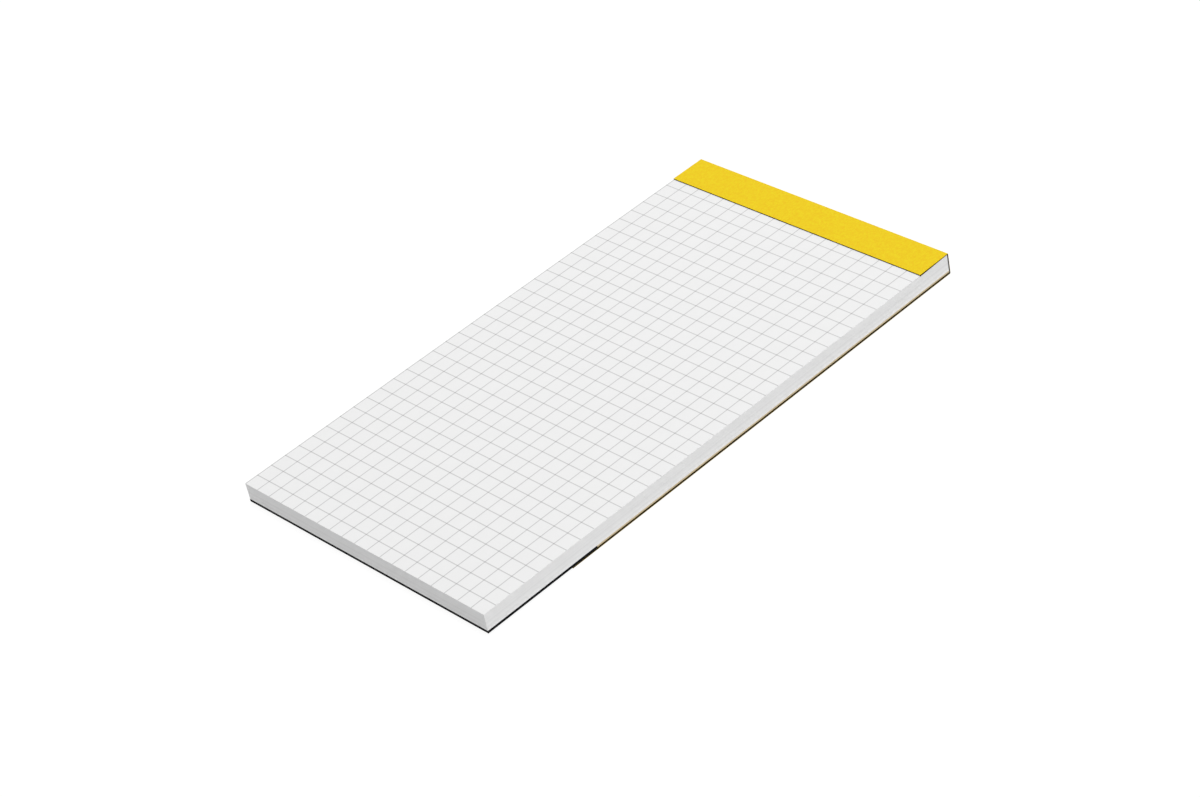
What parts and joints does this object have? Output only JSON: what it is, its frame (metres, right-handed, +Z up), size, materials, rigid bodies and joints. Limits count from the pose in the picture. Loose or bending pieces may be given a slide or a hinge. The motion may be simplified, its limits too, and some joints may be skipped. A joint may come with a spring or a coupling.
{
  "type": "legal pad",
  "caption": "Tall narrow pad of squared paper, gummed at the head, with a chipboard back and a yellow card cover folded right back round the head.",
  "frame": {"origin": "on the surface that the pad lies on, below the middle of the pad's outline", "axes": "+X across the sheets, +Y from the foot to the gummed head, +Z up out of the top sheet"},
  "size_m": [0.095, 0.1798, 0.0069],
  "materials": {
    "paper": "matt, uncoated",
    "chipboard": "matt, unlined",
    "glue": "dried padding glue, dark grey",
    "yellow_card": "matt, finely mottled"
  },
  "bodies": {
    "root": {"page_block": "paper", "backing_board": "chipboard", "padding_glue": "glue", "cover": "yellow_card"}
  },
  "joints": []
}
